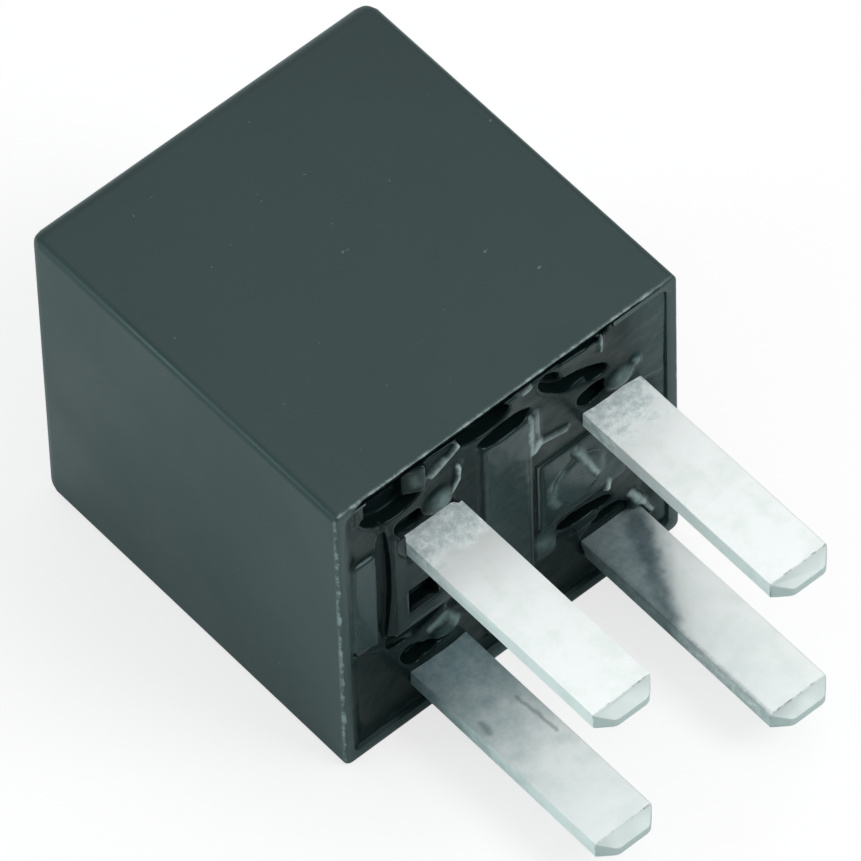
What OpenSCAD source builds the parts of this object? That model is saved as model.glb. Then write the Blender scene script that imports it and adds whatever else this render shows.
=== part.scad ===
// Small sealed plug-in relay with four flat blades, lying on one side.
// +X runs across the terminal end, the blades point along -Y, and +Z is up.
// The origin is the middle of the side that the relay rests on.
// Inside, a clapper armature rocks on the tip of an L-shaped yoke and makes one contact.

/* [Cover] */
// Width of the cover, across the blade columns
cover_w = 16.9; // [16:0.1:20]
// Length of the cover, from its open rim to its closed end
cover_l = 17.8; // [16.5:0.1:22]
// Height of the cover as it lies
cover_h = 16.2; // [15.6:0.1:19]
// Thickness of the cover's walls
wall = 0.7; // [0.5:0.05:0.8]
// Radius of the cover's outside edges
edge_r = 0.8; // [0.4:0.1:1.2]
// Radius of the corners inside the cover
inner_r = 0.5; // [0.3:0.1:0.8]
// Gap between the cover's walls and what stands nearest to them inside
side_gap = 0.1; // [0.08:0.01:0.2]

/* [Blades] */
// Width of a blade
blade_w = 2.8; // [2.4:0.1:3.2]
// Thickness of a blade
blade_t = 0.8; // [0.6:0.1:1]
// Length of blade beyond the cover's rim
blade_out = 10.8; // [8:0.1:13]
// Distance from the middle of the relay to the left column of blades
column_left = 3.4; // [3:0.1:4]
// Distance from the middle of the relay to the right column of blades
column_right = 5.4; // [5:0.1:5.6]
// Height of the coil blades' row above the resting side
row_low = 2.05; // [1.9:0.05:2.4]
// Height of the contact blades' row above the resting side
row_high = 10.6; // [10.2:0.1:11.2]
// Corner cut at each side of a blade's tip
tip_cut = 0.6; // [0.3:0.1:0.9]
// Length of the bevel coined on both faces of a blade's tip
tip_bevel_l = 0.65; // [0.3:0.05:1]
// Depth of that bevel
tip_bevel_t = 0.2; // [0.1:0.05:0.28]
// Width of a coil blade's narrow tab inside the relay
tab_w = 1.4; // [1:0.1:1.8]
// Length of that tab beyond the resistor
tab_over = 0.3; // [0.2:0.05:0.6]
// Radius inside the folds of the contact blades
blade_bend_r = 0.3; // [0.2:0.05:0.4]
// Width of the common blade's folded end, across the fold
common_w = 3.8; // [3.4:0.1:4.4]
// Reach of that end beyond the core's axis
common_reach = 2; // [1.6:0.1:2.6]

/* [Base and resin] */
// Depth of the base's outer face below the rim
base_recess = 1.2; // [1.1:0.05:1.4]
// Thickness of the base
base_t = 1.95; // [1.8:0.05:2.3]
// Gap between the base and each wall of the cover
base_fit = 0.05; // [0.03:0.01:0.1]
// Depth of the resin's surface below the rim
resin_recess = 0.4; // [0.3:0.05:0.5]
// Depth of the pits that the resin has left beside the blades
pit_depth = 0.6; // [0.3:0.05:0.65]
// Gap between a blade and its slot in the base
slot_fit = 0.04; // [0.02:0.01:0.06]
// Height of the ribs and fields that stand on the base's outer face
relief_h = 0.88; // [0.85:0.01:0.95]
// Height of the round boss above the field that it stands on
boss_h = 0.1; // [0.05:0.01:0.15]
// Radius of the round boss
boss_r = 1.3; // [1:0.1:1.5]
// Distance from the right column's middle back to the boss
boss_in = 1.8; // [1.6:0.1:2]
// Width of the middle rib
rib_w = 2.3; // [1.8:0.1:2.6]
// Distance from the middle of the relay to the middle of that rib
rib_x = 0.25; // [0:0.05:0.4]
// Height of that rib's end above the upper row of blades
rib_over = 2.6; // [2:0.1:3]
// Width of the side rib
side_rib_w = 1.1; // [0.9:0.1:1.3]
// Gap between the side rib and the base's edge
side_rib_gap = 0.25; // [0.2:0.05:0.4]
// Height of the fields between the rows of blades
field_h = 4.2; // [3.6:0.1:4.6]
// Gap between a field and the blades above it, and between two fields
field_gap = 0.5; // [0.3:0.05:0.6]
// Width of the left field's strip beside its blade
strip_w = 0.7; // [0.5:0.1:0.9]
// Side of the square notch in the left field
notch_w = 1.5; // [1.2:0.1:1.8]

/* [Magnet] */
// Diameter of the core
core_d = 3.6; // [3:0.1:4]
// Diameter of the core's riveted end
core_rivet_d = 2; // [1.6:0.1:2.4]
// Diameter of the pole disc
pole_d = 6.8; // [6:0.1:7.4]
// Thickness of the pole disc
pole_t = 0.8; // [0.6:0.1:1]
// Thickness of the bobbin's tube
tube_t = 0.6; // [0.4:0.05:0.8]
// Side of the bobbin's square flanges
flange_w = 8.6; // [8:0.1:9]
// Radius of the flanges' corners
flange_r = 0.8; // [0.5:0.1:1.2]
// Thickness of the bobbin's flanges
flange_t = 0.8; // [0.6:0.1:1]
// Outside diameter of the winding
winding_d = 8.1; // [7:0.1:8.3]
// Gap between parts that are pushed together
push_fit = 0.03; // [0.02:0.01:0.05]
// Diameter of the winding's two end wires
wire_d = 0.3; // [0.2:0.05:0.4]
// Directions in which those wires leave the winding
start_a = -116; // [-124:1:-108]
finish_a = -35; // [-42:1:-28]
// Edge of the bobbin's ledge round a coil blade's tab, below it and beside it
ledge_below = 0.4; // [0.3:0.05:0.5]
ledge_beside = 0.6; // [0.4:0.1:0.8]
// Width of the foot that stands under that ledge
ledge_foot_w = 1.6; // [1.2:0.1:2]

/* [Yoke and armature] */
// Thickness of the yoke
yoke_t = 1.2; // [1:0.1:1.4]
// Width of the yoke
yoke_w = 9; // [8.6:0.1:9.6]
// Radius inside the yoke's bend
yoke_bend_r = 0.3; // [0.2:0.05:0.5]
// Length of the yoke's foot beyond the core
foot_over = 1.4; // [1:0.1:1.6]
// Radius of the yoke's rounded tip, on which the armature rocks
nose_r = 0.35; // [0.25:0.05:0.45]
// Gap between the tip and the armature's groove
hinge_fit = 0.05; // [0.03:0.01:0.08]
// Depth of the tip in that groove
groove_t = 0.2; // [0.15:0.05:0.25]
// Length over which the yoke narrows to its tip
nose_taper = 0.7; // [0.4:0.1:1]
// Width of the horns that hold the armature at its sides
horn_w = 0.8; // [0.6:0.1:1]
// Gap between a horn and the armature
horn_gap = 0.2; // [0.15:0.05:0.3]
// Thickness of the armature
armature_t = 1.2; // [1:0.1:1.4]
// Width of the armature over the coil
armature_w = 8.4; // [7.8:0.1:9]
// Length of the armature behind the yoke's tip
tail_l = 0.15; // [0.1:0.05:0.2]
// Length of the armature's neck beyond the yoke
neck_l = 0.4; // [0.3:0.05:0.6]
// Gap between the armature's end and the contacts
end_gap = 0.6; // [0.5:0.1:1]
// Corner cut from the armature's ends, and under the leaf's bend
corner = 0.8; // [0.6:0.1:1]
// Angle of the armature at rest, open
open_deg = 3; // [2:0.1:3.4]
// Air left between armature and pole when the contacts are closed
pole_air = 0.05; // [0.03:0.01:0.08]

/* [Contact spring] */
// Thickness of the leaf
leaf_t = 0.2; // [0.15:0.05:0.25]
// Width of the leaf
leaf_w = 5.6; // [5:0.1:6]
// Width of the leaf's tongue, which carries the contact
tongue_w = 2.9; // [2.6:0.1:3.4]
// Radius of the leaf's bend, to its middle
leaf_bend_r = 0.8; // [0.7:0.05:0.85]
// Length of the leaf along the yoke, from its bend
leaf_foot_l = 4.6; // [4.2:0.1:5]
// Length of the leaf's taper to the tongue
taper_l = 1.2; // [0.8:0.1:1.6]
// Length of the straight tongue before the contact
tongue_l = 2; // [1.6:0.1:2.6]
// Width of the window in the leaf's bend
window_w = 1.8; // [1.2:0.1:2.4]
// Length of that window along the yoke, from the bend
window_l = 1; // [0.6:0.1:1.4]
// Diameter of the rivets' shanks
rivet_d = 0.9; // [0.7:0.1:1.1]
// Diameter of the rivets' heads
rivet_head_d = 1.5; // [1.3:0.1:1.7]
// Thickness of the rivets' heads
rivet_head_t = 0.25; // [0.2:0.05:0.3]
// Distance between the two rivets of a pair
rivet_pitch = 3.4; // [2.8:0.1:4]
// Distance from the hinge to the rivets in the yoke
yoke_rivet_l = 3.4; // [3:0.1:3.8]
// Distance from the hinge to the rivets in the armature
armature_rivet_l = 3; // [2.6:0.1:3.4]

/* [Contacts and stop] */
// Diameter of the contacts
contact_d = 2.4; // [2:0.1:2.6]
// Height of the moving contact below the leaf
contact_h = 0.9; // [0.7:0.1:1.1]
// Height of the fixed contact above its tab
fixed_h = 0.5; // [0.3:0.1:0.6]
// Radius of the moving contact's domed face
dome_r = 3; // [2.4:0.2:5]
// Air left between the contacts when they are closed
contact_air = 0.03; // [0.02:0.01:0.05]
// Edge of the fixed contact's tab beyond the contact
fixed_edge = 0.3; // [0.2:0.05:0.5]
// Thickness of the back stop
stop_t = 0.5; // [0.4:0.05:0.6]
// Width of the back stop
stop_w = 2; // [1.6:0.1:2.4]
// Gap between the back stop and the closed end of the cover
stop_gap = 0.2; // [0.15:0.05:0.3]
// Radius inside the back stop's bend
stop_bend_r = 0.2; // [0.15:0.05:0.4]
// Depth of the back stop's foot in the base
stop_foot = 1.2; // [0.8:0.1:1.4]
// Distance from the middle of the relay down to the back stop's upright
stop_down = 3.9; // [3.6:0.1:4.2]
// Gap between the back stop and the moving contact's head at rest
rest_gap = 0.05; // [0.03:0.01:0.08]

/* [Resistor] */
// Diameter of the resistor's body
resistor_d = 1.7; // [1.4:0.1:1.8]
// Length of the resistor's body
resistor_l = 3.9; // [3.2:0.1:4.4]
// Length of the resistor's thicker ends
resistor_cap_l = 1; // [0.7:0.1:1.3]
// Depth of its waist between those ends
waist = 0.15; // [0.1:0.05:0.2]
// Diameter of the resistor's leads
lead_d = 0.45; // [0.35:0.05:0.55]
// Gap between the end wires and the ledge below, and the leads above
wire_gap = 0.15; // [0.1:0.05:0.2]

/* [Hidden] */
$fn = 48;

// A cut runs this far past the face that it opens
past = 1;
// Air between a wire or a body and what it is soldered to or lies on
touch = 0.02;
// Air between the armature and what is riveted flat on it
seam = 0.01;
// Turn between two points on the leaf's bend
bend_step = 6;

// Along Y, from the rim inwards
rim_y = -cover_l / 2;
end_y = cover_l / 2;
end_inner_y = end_y - wall;
resin_y = rim_y + resin_recess;
base_y0 = rim_y + base_recess;
base_y1 = base_y0 + base_t;
foot_y1 = base_y1 + yoke_t;
spool_y0 = foot_y1 + flange_t;
tip_y = rim_y - blade_out;

// Across, from the walls inwards
mid_z = cover_h / 2;
inner_w = cover_w - 2 * wall;
inner_h = cover_h - 2 * wall;
yoke_x0 = -inner_w / 2 + side_gap + rivet_head_t + leaf_t;
yoke_x1 = yoke_x0 + yoke_t;
coil_x = yoke_x1 + yoke_bend_r + touch + flange_w / 2;
hinge_x = yoke_x0 + yoke_t / 2;
left_x = -column_left;
right_x = column_right;

// Faces of the armature, leaf and heads with the contacts closed, measured from the hinge
seat = nose_r - groove_t;
armature_out = seat + armature_t;
leaf_in = armature_out + seam;
leaf_out = leaf_in + leaf_t;
head_out = leaf_out + rivet_head_t;

// The open armature stops just under the back stop, which hangs from the closed end
stop_y = end_inner_y - stop_gap - stop_t;
reach = right_x - hinge_x + contact_d / 2;
hinge_y = stop_y - rest_gap - reach * sin(open_deg) - head_out * cos(open_deg);

// The pole, the upper flange and the fixed contact follow the closed armature
pole_y1 = hinge_y + seat - pole_air;
pole_y0 = pole_y1 - pole_t;
spool_y1 = pole_y0 - flange_t;
dome_y = hinge_y + armature_out - contact_h;
fixed_y = dome_y - contact_air;
fixed_tab_y = fixed_y - fixed_h;

// The leaf's bend starts on the yoke's outer side and ends on the open armature
leaf_x = yoke_x0 - leaf_t / 2;
bend_x = leaf_x + leaf_bend_r;
bend_y = hinge_y + (leaf_in + leaf_t / 2 - leaf_bend_r
                    + (bend_x - hinge_x) * sin(open_deg)) / cos(open_deg);
leaf_flat_l = right_x + tongue_w - bend_x;
tongue_x = right_x - contact_d / 2 - tongue_l;
armature_x0 = hinge_x - nose_r - tail_l;
armature_x1 = right_x - contact_d / 2 - end_gap;
neck_x = yoke_x1 + neck_l;
neck_w = yoke_w - 2 * horn_w - 2 * horn_gap;

// Coil terminals, resistor and end wires share one floor above the bobbin's ledge
ledge_z0 = row_low - blade_t / 2 - ledge_below;
ledge_x0 = left_x - tab_w / 2 - ledge_beside;
ledge_x1 = right_x + tab_w / 2 + ledge_beside;
tab_y = spool_y0 + resistor_d + tab_over;
wire_y = spool_y0 + wire_d / 2 + wire_gap;
lead_y = wire_y + wire_d / 2 + lead_d / 2 + wire_gap;
lead_z = row_low + blade_t / 2 + lead_d / 2 + touch;
resistor_x = (left_x + right_x) / 2;
resistor_y = spool_y0 + resistor_d / 2 + wire_gap;

// Shapes drawn flat -------------------------------------------------------------------------

// Rectangle with round corners, its middle at the origin
module round_rect(w, h, r) {
    square([w - 2 * r, h], center = true);
    square([w, h - 2 * r], center = true);
    for (sx = [-1, 1], sy = [-1, 1])
        translate([sx * (w / 2 - r), sy * (h / 2 - r)]) circle(r = r);
}

// Slot with round ends between two points on one horizontal line
module stadium(x0, x1, z, r) {
    translate([x0, z - r]) square([x1 - x0, 2 * r]);
    for (x = [x0, x1]) translate([x, z]) circle(r = r);
}

// Strip of thickness t folded once: one leg runs from a0 to a1 with its outer side at b1, the
// other from b1 down to b0 with its outer side at a1
module folded_strip(a0, a1, b0, b1, t, r) {
    outer = r + t;
    translate([a0, b1 - t]) square([a1 - outer - a0, t]);
    translate([a1 - t, b0]) square([t, b1 - outer - b0]);
    translate([a1 - outer, b1 - outer]) intersection() {
        difference() {
            circle(r = outer);
            circle(r = r);
        }
        square(outer);
    }
}

// Directions to extrude them in -------------------------------------------------------------

// Child drawn in X and Z
module along_y(y0, y1) {
    translate([0, y1, 0]) rotate([90, 0, 0]) linear_extrude(y1 - y0) children();
}

// Child drawn in Y and Z
module along_x(x0, x1) {
    translate([x0, 0, 0]) rotate([90, 0, 90]) linear_extrude(x1 - x0) children();
}

// Child drawn in X and Y
module along_z(z0, z1) {
    translate([0, 0, z0]) linear_extrude(z1 - z0) children();
}

// Round rod along Y
module rod_y(x, z, y0, y1, r) {
    translate([x, y0, z]) rotate([-90, 0, 0]) cylinder(h = y1 - y0, r = r);
}

// Round rod along X
module rod_x(y, z, x0, x1, r) {
    translate([x0, y, z]) rotate([0, 90, 0]) cylinder(h = x1 - x0, r = r);
}

// Round wire between two points of one Y
module wire(from, to, d) {
    run = to - from;
    translate(from) rotate([0, atan2(run[0], run[2]), 0]) cylinder(h = norm(run), d = d);
}

// What rides on the armature is drawn closed and turned open about the hinge
module opened() {
    translate([hinge_x, hinge_y, 0]) rotate([0, 0, open_deg]) translate([-hinge_x, -hinge_y, 0])
        children();
}

// Cover, base and resin ---------------------------------------------------------------------

module cover() {
    color("#3f4b4b") difference() {
        intersection() {
            translate([0, 0, mid_z]) along_y(rim_y, end_y) round_rect(cover_w, cover_h, edge_r);
            along_z(0, cover_h) translate([0, -edge_r])
                round_rect(cover_w, cover_l + 2 * edge_r, edge_r);
            along_x(-cover_w / 2, cover_w / 2) translate([-edge_r, mid_z])
                round_rect(cover_l + 2 * edge_r, cover_h, edge_r);
        }
        translate([0, 0, mid_z]) along_y(rim_y - past, end_inner_y)
            round_rect(inner_w, inner_h, inner_r);
    }
}

// Outline that fills the cover's mouth, less a gap all round
module mouth(gap) {
    translate([0, mid_z]) round_rect(inner_w - 2 * gap, inner_h - 2 * gap, inner_r - gap);
}

// Places of the four blades
BLADES = [[left_x, row_high], [right_x, row_high], [left_x, row_low], [right_x, row_low]];

// Section of one blade, with a gap all round
module blade_section(at, gap) {
    translate(at) square([blade_w + 2 * gap, blade_t + 2 * gap], center = true);
}

// Raised fields of the base's outer face, each as [x0, x1, z0, z1]
field_z1 = row_high - blade_t / 2 - field_gap;
field_z0 = field_z1 - field_h;
base_x0 = base_fit - inner_w / 2;
blade_x0 = left_x - blade_w / 2;
boss_x = right_x - boss_in;
FIELDS = [
    // Middle rib
    [rib_x - rib_w / 2, rib_x + rib_w / 2, ledge_z0, row_high + rib_over],
    // Side rib
    [base_x0 + side_rib_gap, base_x0 + side_rib_gap + side_rib_w, field_z0 + field_gap,
     row_high + blade_t / 2],
    // Left field and its strip
    [blade_x0 - strip_w, left_x + blade_w / 2 - field_gap, field_z0, field_z1],
    [blade_x0 - strip_w, blade_x0 - slot_fit, field_z0, row_high + blade_t],
    // Right field, which carries the boss
    [rib_x + rib_w / 2 + field_gap / 2, boss_x + boss_r + field_gap, field_z0, field_z1]];

module field(f) { translate([f[0], f[2]]) square([f[1] - f[0], f[3] - f[2]]); }

// Square notch in the left field
module notch() {
    translate([blade_x0, field_z0 + field_gap + strip_w / 2]) square(notch_w);
}

module relief() {
    difference() {
        along_y(base_y0 - relief_h, base_y0 + slot_fit) for (f = FIELDS) field(f);
        along_y(base_y0 - relief_h - past, base_y0) notch();
    }
    along_y(base_y0 - relief_h - boss_h, base_y0 + slot_fit)
        translate([boss_x, (field_z0 + field_z1) / 2 - boss_h]) circle(r = boss_r);
}

module base() {
    color("#2f3838") difference() {
        union() {
            along_y(base_y0, base_y1) mouth(base_fit);
            relief();
        }
        // Slots for the blades
        along_y(base_y0 - past, base_y1 + past)
            for (at = BLADES) blade_section(at, slot_fit);
        // Pocket for the folded end of the common blade, flush with the base's top
        along_y(base_y1 - blade_t - slot_fit, base_y1 + past)
            translate([left_x - blade_w / 2 - slot_fit, mid_z - common_half - slot_fit])
                square([common_x1 - blade_x0 + 2 * slot_fit,
                        row_high + blade_t / 2 - mid_z + common_half + 2 * slot_fit]);
        // Room for the inside of that fold
        along_y(base_y1 - blade_t - blade_bend_r - slot_fit, base_y1)
            translate([left_x - blade_w / 2 - slot_fit, row_high - blade_t / 2 - blade_bend_r])
                square([blade_w + 2 * slot_fit, blade_bend_r + blade_t / 2]);
        // Slot for the foot of the back stop
        along_y(base_y1 - stop_foot, base_y1 + past)
            translate([right_x - stop_w / 2 - slot_fit, stop_z0 - slot_fit])
                square([stop_w + 2 * slot_fit, stop_t + 2 * slot_fit]);
    }
}

// Where the resin has sunk, beside each of BLADES: how far its middle is to the left of the
// blade and above it, half the length of its straight part, and its radius
PITS = [[2.1, 3.7, 0.7, 0.9], [1.5, 2.6, 0.3, 1.2], [0.4, 1.25, 0.6, 0.8], [1.4, 1.85, 0.7, 1]];

module pits() {
    along_y(resin_y - past, resin_y + pit_depth)
        for (i = [0:len(BLADES) - 1]) {
            x = BLADES[i][0] - PITS[i][0];
            stadium(x - PITS[i][2], x + PITS[i][2], BLADES[i][1] + PITS[i][1], PITS[i][3]);
        }
}

module sealing_resin() {
    color("#1c2424") difference() {
        along_y(resin_y, base_y0) mouth(0);
        relief();
        pits();
        along_y(resin_y - past, base_y0 + past) {
            notch();
            for (at = BLADES) blade_section(at, 0);
        }
    }
}

// Terminals ---------------------------------------------------------------------------------

common_half = common_w / 2;
common_x1 = coil_x + common_reach;

// Straight blade from its tip to y1, with cut corners and coined faces. The points of tail,
// if any, carry its outline on
module blade(at, y1, tail = []) {
    translate([at[0], 0, at[1]]) intersection() {
        along_z(-blade_t / 2, blade_t / 2) polygon(concat([
            [-blade_w / 2, y1],
            [-blade_w / 2, tip_y + tip_cut],
            [-blade_w / 2 + tip_cut, tip_y],
            [blade_w / 2 - tip_cut, tip_y],
            [blade_w / 2, tip_y + tip_cut],
            [blade_w / 2, y1]], tail));
        along_x(-blade_w / 2, blade_w / 2) polygon([
            [end_y, -blade_t / 2],
            [tip_y + tip_bevel_l, -blade_t / 2],
            [tip_y, -blade_t / 2 + tip_bevel_t],
            [tip_y, blade_t / 2 - tip_bevel_t],
            [tip_y + tip_bevel_l, blade_t / 2],
            [end_y, blade_t / 2]]);
    }
}

// Common terminal: its inner end folds flat under the yoke's foot, and the core is riveted in it
module terminal_30() {
    color("#d9dedc") difference() {
        union() {
            blade([left_x, row_high], base_y0);
            along_x(left_x - blade_w / 2, left_x + blade_w / 2)
                folded_strip(rim_y, base_y1, mid_z - common_half, row_high + blade_t / 2,
                             blade_t, blade_bend_r);
            along_y(base_y1 - blade_t, base_y1)
                translate([blade_x0, mid_z - common_half])
                    square([common_x1 - blade_x0, common_w]);
        }
        rod_y(coil_x, mid_z, base_y0, base_y1 + past, core_rivet_d / 2 + push_fit);
    }
}

// Make terminal: stands beside the coil and folds over to carry the fixed contact
module terminal_87() {
    color("#d9dedc") difference() {
        union() {
            blade([right_x, row_high], base_y1);
            along_x(right_x - blade_w / 2, right_x + blade_w / 2)
                folded_strip(base_y1, fixed_tab_y, mid_z - contact_d / 2 - fixed_edge,
                             row_high + blade_t / 2, blade_t, blade_bend_r);
        }
        rod_y(right_x, mid_z, fixed_tab_y - blade_t - past, fixed_tab_y + past,
              rivet_d / 2 + push_fit);
    }
}

// Coil terminal: narrows to a tab that stands through the bobbin's ledge
module coil_terminal(x) {
    color("#d9dedc") blade([x, row_low], base_y1, [
        [tab_w / 2, base_y1], [tab_w / 2, tab_y], [-tab_w / 2, tab_y], [-tab_w / 2, base_y1]]);
}

module terminal_85() { coil_terminal(left_x); }

module terminal_86() { coil_terminal(right_x); }

// Magnet ------------------------------------------------------------------------------------

module bobbin() {
    color("#1f2a2c") difference() {
        union() {
            for (y = [foot_y1, spool_y1])
                translate([coil_x, 0, mid_z]) along_y(y, y + flange_t)
                    round_rect(flange_w, flange_w, flange_r);
            rod_y(coil_x, mid_z, foot_y1, pole_y0, core_d / 2 + tube_t);
            // Ledge that the coil terminals stand through, and its foot on the base
            along_y(foot_y1, spool_y0)
                translate([ledge_x0, ledge_z0])
                    square([ledge_x1 - ledge_x0, mid_z - flange_w / 4 - ledge_z0]);
            along_y(base_y1, foot_y1)
                translate([resistor_x - ledge_foot_w / 2, ledge_z0])
                    square([ledge_foot_w, mid_z - yoke_w / 2 - side_gap - ledge_z0]);
        }
        rod_y(coil_x, mid_z, foot_y1 - past, pole_y0 + past, core_d / 2 + push_fit);
        for (x = [left_x, right_x])
            translate([x, 0, row_low]) along_y(foot_y1 - past, spool_y0 + past)
                square([tab_w + 2 * slot_fit, blade_t + 2 * slot_fit], center = true);
        // Clear of the two contact-side uprights
        along_y(foot_y1 - past, spool_y0 + past)
            translate([right_x - stop_w / 2 - side_gap, stop_z0 - side_gap])
                square([ledge_x1, mid_z]);
    }
}

module coil_winding() {
    color("#b5622f") difference() {
        rod_y(coil_x, mid_z, spool_y0 + touch, spool_y1 - touch, winding_d / 2);
        rod_y(coil_x, mid_z, spool_y0, spool_y1, core_d / 2 + tube_t + touch);
    }
}

// End wire from the winding, in the direction of angle a, to a coil terminal's tab
module coil_lead(a, x) {
    start_r = winding_d / 2 + touch + wire_d / 2;
    color("#b5622f")
        wire([coil_x + start_r * cos(a), wire_y, mid_z + start_r * sin(a)],
             [x, wire_y, row_low + blade_t / 2 + touch + wire_d / 2], wire_d);
}

module coil_start_lead() { coil_lead(start_a, left_x); }

module coil_finish_lead() { coil_lead(finish_a, right_x); }

module core() {
    color("#9aa0a3") {
        rod_y(coil_x, mid_z, base_y1 - blade_t, foot_y1, core_rivet_d / 2);
        rod_y(coil_x, mid_z, foot_y1, pole_y0, core_d / 2);
        rod_y(coil_x, mid_z, pole_y0, pole_y1, pole_d / 2);
    }
}

module yoke() {
    foot_x1 = coil_x + core_d / 2 + foot_over;
    outer = yoke_bend_r + yoke_t;
    horn_y = hinge_y + seat + armature_t / 2;
    color("#a9afb2") difference() {
        union() {
            // Foot, bend and leg
            along_z(mid_z - yoke_w / 2, mid_z + yoke_w / 2) {
                translate([yoke_x0 + outer, base_y1]) square([foot_x1 - yoke_x0 - outer, yoke_t]);
                translate([yoke_x0, base_y1 + outer])
                    square([yoke_t, hinge_y - nose_taper - base_y1 - outer]);
                translate([yoke_x0 + outer, base_y1 + outer]) intersection() {
                    difference() {
                        circle(r = outer);
                        circle(r = yoke_bend_r);
                    }
                    translate([-outer, -outer]) square(outer);
                }
            }
            // Narrowed tip between the horns, round on the hinge's axis
            along_z(mid_z - yoke_w / 2 + horn_w, mid_z + yoke_w / 2 - horn_w) {
                polygon([[yoke_x0, hinge_y - nose_taper], [hinge_x - nose_r, hinge_y],
                         [hinge_x + nose_r, hinge_y], [yoke_x1, hinge_y - nose_taper]]);
                translate([hinge_x, hinge_y]) circle(r = nose_r);
            }
            for (z = [mid_z - yoke_w / 2, mid_z + yoke_w / 2 - horn_w])
                along_z(z, z + horn_w) translate([yoke_x0, hinge_y - nose_taper])
                    square([yoke_t, horn_y - hinge_y + nose_taper]);
        }
        rod_y(coil_x, mid_z, base_y1 - past, foot_y1 + past, core_rivet_d / 2 + push_fit);
        for (s = [-1, 1])
            rod_x(spring_rivet_y, mid_z + s * rivet_pitch / 2, yoke_x0 - past, yoke_x1 + past,
                  rivet_d / 2 + push_fit);
    }
}

// Armature and contacts ---------------------------------------------------------------------

spring_rivet_y = hinge_y - yoke_rivet_l;
armature_rivet_x = hinge_x + armature_rivet_l;

module armature() {
    half_neck = neck_w / 2;
    half = armature_w / 2;
    color("#8f9699") opened() difference() {
        translate([0, 0, mid_z]) along_y(hinge_y + seat, hinge_y + armature_out) polygon([
            [armature_x0, -half_neck], [neck_x, -half_neck], [neck_x, -half],
            [armature_x1 - corner, -half], [armature_x1, -half + corner],
            [armature_x1, half - corner], [armature_x1 - corner, half],
            [neck_x, half], [neck_x, half_neck], [armature_x0, half_neck]]);
        // Groove that rocks on the yoke's tip
        translate([hinge_x, hinge_y, mid_z - yoke_w])
            cylinder(h = 2 * yoke_w, r = nose_r + hinge_fit);
        // Cut corner under the leaf's bend
        along_z(0, cover_h) polygon([
            [armature_x0 - past, hinge_y + armature_out - corner - past],
            [armature_x0 + corner + past, hinge_y + armature_out + past],
            [armature_x0 - past, hinge_y + armature_out + past]]);
        for (s = [-1, 1])
            rod_y(armature_rivet_x, mid_z + s * rivet_pitch / 2, hinge_y + seat + armature_t / 2,
                  hinge_y + armature_out + past, rivet_d / 2 + push_fit);
    }
}

// Points along one side of the leaf's bend and its flat end, r from the bend's middle
function leaf_side(r) = concat(
    [for (a = [180:-bend_step:90 + open_deg]) [bend_x + r * cos(a), bend_y + r * sin(a)]],
    [[bend_x - r * sin(open_deg) + leaf_flat_l * cos(open_deg),
      bend_y + r * cos(open_deg) + leaf_flat_l * sin(open_deg)]]);

function backwards(list) = [for (i = [len(list) - 1:-1:0]) list[i]];

// One leaf: flat on the yoke's outer side, bent over the tip, flat on the armature
module contact_spring() {
    foot_y0 = bend_y - leaf_foot_l;
    outer_r = leaf_bend_r + leaf_t / 2;
    hollow_r = leaf_bend_r - leaf_t / 2;
    color("#c08a4a") difference() {
        intersection() {
            along_z(mid_z - leaf_w / 2, mid_z + leaf_w / 2) polygon(concat(
                [[leaf_x + leaf_t / 2, foot_y0], [leaf_x - leaf_t / 2, foot_y0]],
                leaf_side(outer_r), backwards(leaf_side(hollow_r))));
            // Seen from the closed end: full width, then a taper to the round-ended tongue
            opened() along_y(foot_y0 - past, end_y) translate([0, mid_z]) {
                polygon([[-cover_w, -leaf_w], [tongue_x - taper_l, -leaf_w],
                         [tongue_x - taper_l, -leaf_w / 2], [tongue_x, -tongue_w / 2],
                         [right_x, -tongue_w / 2], [right_x, tongue_w / 2],
                         [tongue_x, tongue_w / 2], [tongue_x - taper_l, leaf_w / 2],
                         [tongue_x - taper_l, leaf_w], [-cover_w, leaf_w]]);
                translate([right_x, 0]) circle(r = tongue_w / 2);
            }
        }
        // Window that softens the bend
        along_z(mid_z - window_w / 2, mid_z + window_w / 2)
            translate([yoke_x0 - leaf_t - past, bend_y - window_l])
                square([leaf_bend_r + leaf_t + past, leaf_bend_r + leaf_t + window_l + past]);
        for (s = [-1, 1]) {
            rod_x(spring_rivet_y, mid_z + s * rivet_pitch / 2, yoke_x0 - past, yoke_x1,
                  rivet_d / 2 + push_fit);
            opened() rod_y(armature_rivet_x, mid_z + s * rivet_pitch / 2, hinge_y + seat,
                           hinge_y + leaf_out + past, rivet_d / 2 + push_fit);
        }
        opened() rod_y(right_x, mid_z, hinge_y + seat, hinge_y + leaf_out + past,
                       rivet_d / 2 + push_fit);
    }
}

module spring_rivets() {
    color("#b9bdbb") for (s = [-1, 1]) {
        rod_x(spring_rivet_y, mid_z + s * rivet_pitch / 2, yoke_x0 - leaf_t, yoke_x1,
              rivet_d / 2);
        rod_x(spring_rivet_y, mid_z + s * rivet_pitch / 2, yoke_x0 - leaf_t - rivet_head_t,
              yoke_x0 - leaf_t, rivet_head_d / 2);
    }
}

module armature_rivets() {
    color("#b9bdbb") opened() for (s = [-1, 1]) {
        rod_y(armature_rivet_x, mid_z + s * rivet_pitch / 2,
              hinge_y + seat + armature_t / 2 + push_fit, hinge_y + leaf_out, rivet_d / 2);
        rod_y(armature_rivet_x, mid_z + s * rivet_pitch / 2, hinge_y + leaf_out,
              hinge_y + head_out, rivet_head_d / 2);
    }
}

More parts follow.
